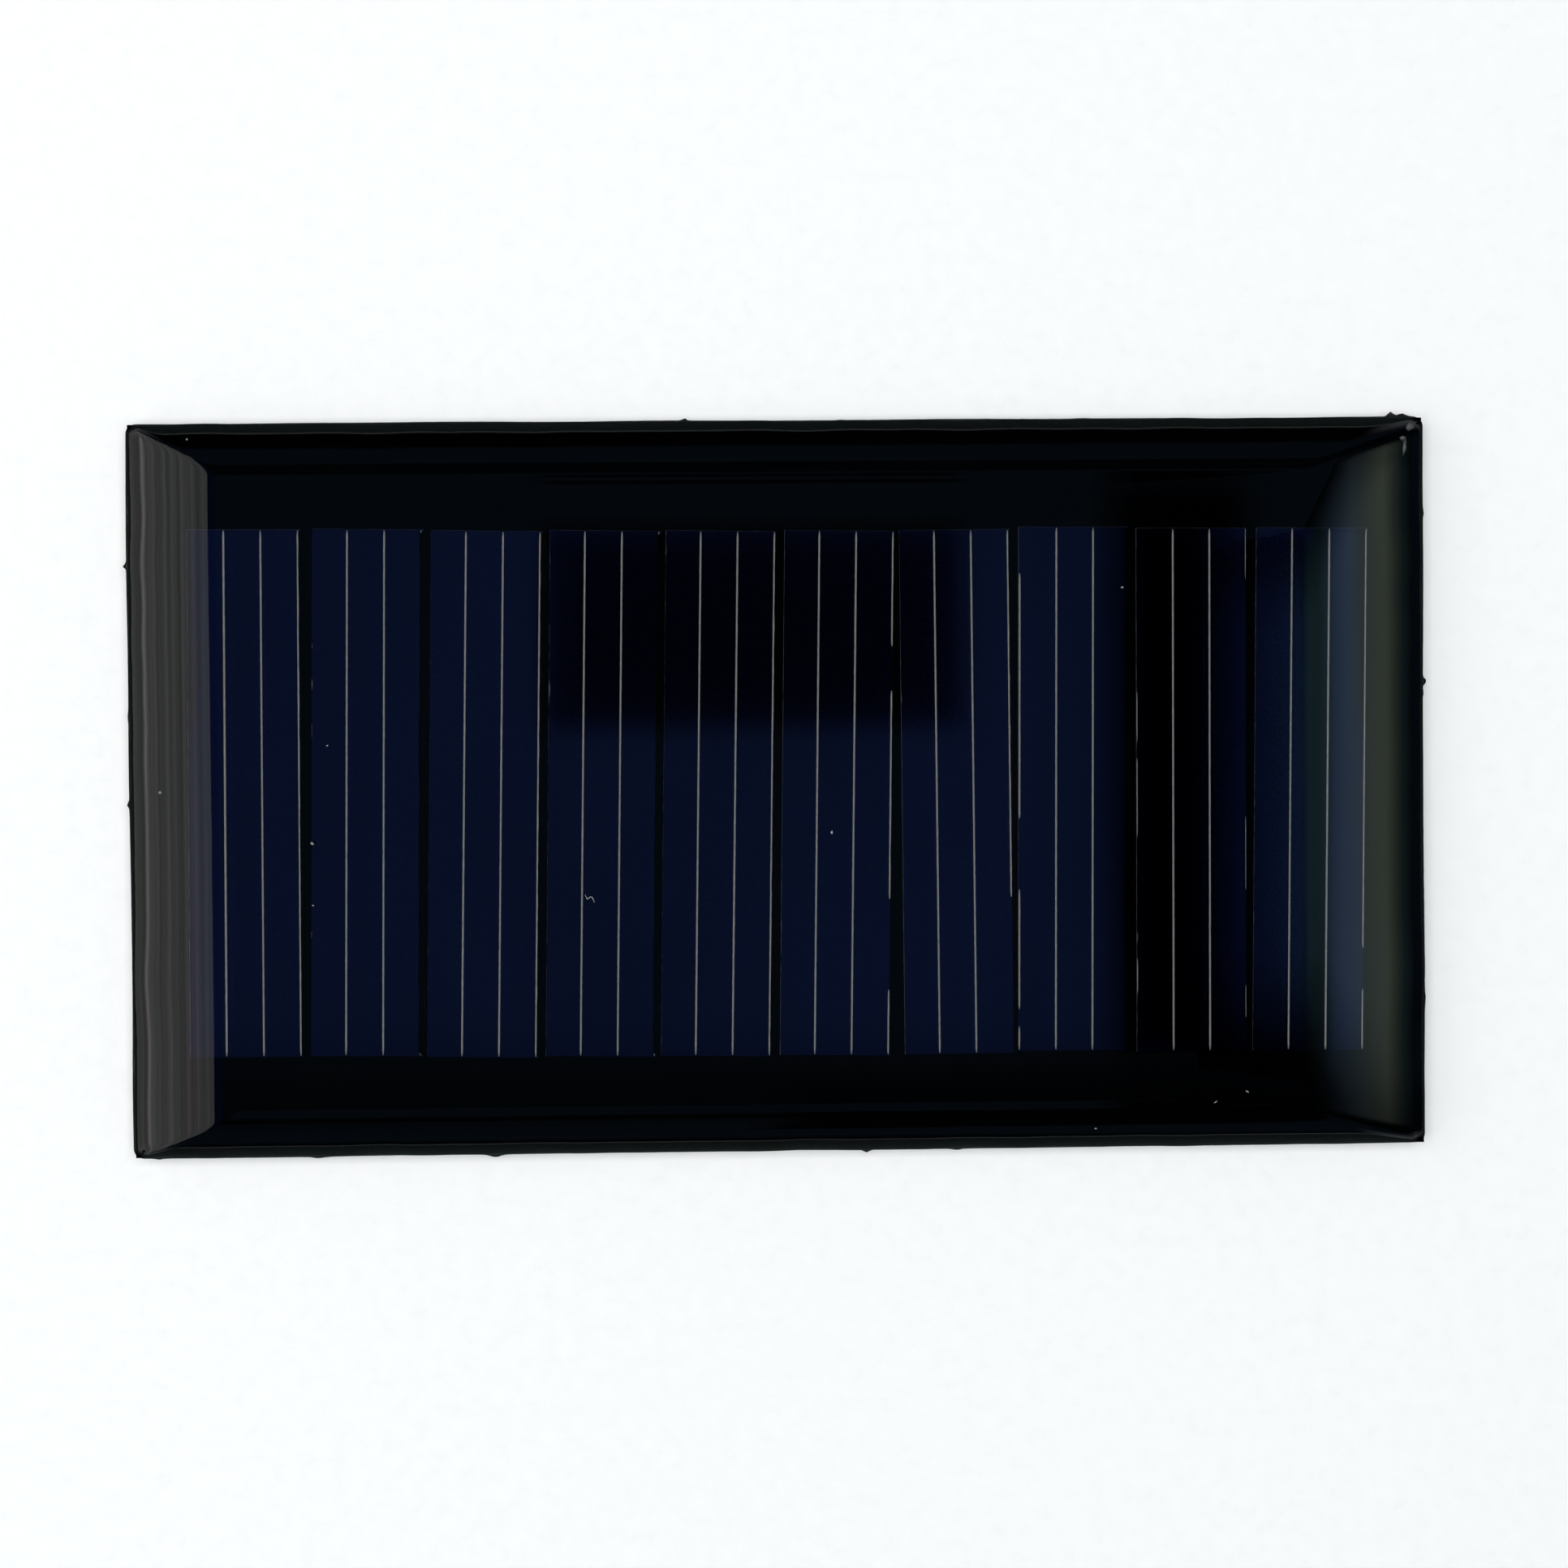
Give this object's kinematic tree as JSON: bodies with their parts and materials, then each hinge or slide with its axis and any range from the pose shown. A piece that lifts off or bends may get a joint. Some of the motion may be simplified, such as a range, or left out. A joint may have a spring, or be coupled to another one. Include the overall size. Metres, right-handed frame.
{
  "type": "mini solar panel",
  "caption": "Small resin-potted solar panel: silicon strips in series on a rectangular circuit board, under a clear domed casting, with two solder pads on the flat rear face.",
  "frame": {"origin": "middle of the flat rear face, which lies on z = 0", "axes": "+X along the panel's length, from the plus pad's end to the minus pad's end; +Y across its width, the way the silicon strips run; +Z out of the lit face"},
  "size_m": [0.053, 0.03, 0.0025],
  "materials": {
    "clear_resin": "clear glossy cast epoxy",
    "silicon": "dark blue anti-reflection coat, satin",
    "finger_silver": "fired silver paste, matte",
    "rear_aluminium": "fired aluminium paste, matte",
    "copper": "etched copper, satin",
    "solder": "levelled tin solder, semi-gloss",
    "black_mask": "black solder mask, semi-gloss",
    "board_laminate": "dark glass-epoxy laminate",
    "bond_adhesive": "silver-filled adhesive, matte",
    "link_adhesive": "black conductive adhesive, matte",
    "mark_ink": "white printing ink, matte"
  },
  "bodies": {
    "root": {"board_core": "board_laminate", "cell_bonds": "bond_adhesive", "cell_lands": "copper", "encapsulant": "clear_resin", "finger_grid_01": "finger_silver", "finger_grid_02": "finger_silver", "finger_grid_03": "finger_silver", "finger_grid_04": "finger_silver", "finger_grid_05": "finger_silver", "finger_grid_06": "finger_silver", "finger_grid_07": "finger_silver", "finger_grid_08": "finger_silver", "finger_grid_09": "finger_silver", "finger_grid_10": "finger_silver", "front_solder_mask": "black_mask", "minus_mark": "mark_ink", "minus_pad": "copper", "minus_pad_tinning": "solder", "minus_via_barrel": "copper", "minus_via_fill": "solder", "negative_land": "copper", "negative_link": "link_adhesive", "plus_mark": "mark_ink", "plus_pad": "copper", "plus_pad_tinning": "solder", "plus_via_barrel": "copper", "plus_via_fill": "solder", "rear_contact_01": "rear_aluminium", "rear_contact_02": "rear_aluminium", "rear_contact_03": "rear_aluminium", "rear_contact_04": "rear_aluminium", "rear_contact_05": "rear_aluminium", "rear_contact_06": "rear_aluminium", "rear_contact_07": "rear_aluminium", "rear_contact_08": "rear_aluminium", "rear_contact_09": "rear_aluminium", "rear_contact_10": "rear_aluminium", "rear_solder_mask": "black_mask", "series_link_01": "link_adhesive", "series_link_02": "link_adhesive", "series_link_03": "link_adhesive", "series_link_04": "link_adhesive", "series_link_05": "link_adhesive", "series_link_06": "link_adhesive", "series_link_07": "link_adhesive", "series_link_08": "link_adhesive", "series_link_09": "link_adhesive", "silicon_strip_01": "silicon", "silicon_strip_02": "silicon", "silicon_strip_03": "silicon", "silicon_strip_04": "silicon", "silicon_strip_05": "silicon", "silicon_strip_06": "silicon", "silicon_strip_07": "silicon", "silicon_strip_08": "silicon", "silicon_strip_09": "silicon", "silicon_strip_10": "silicon"}
  },
  "joints": []
}
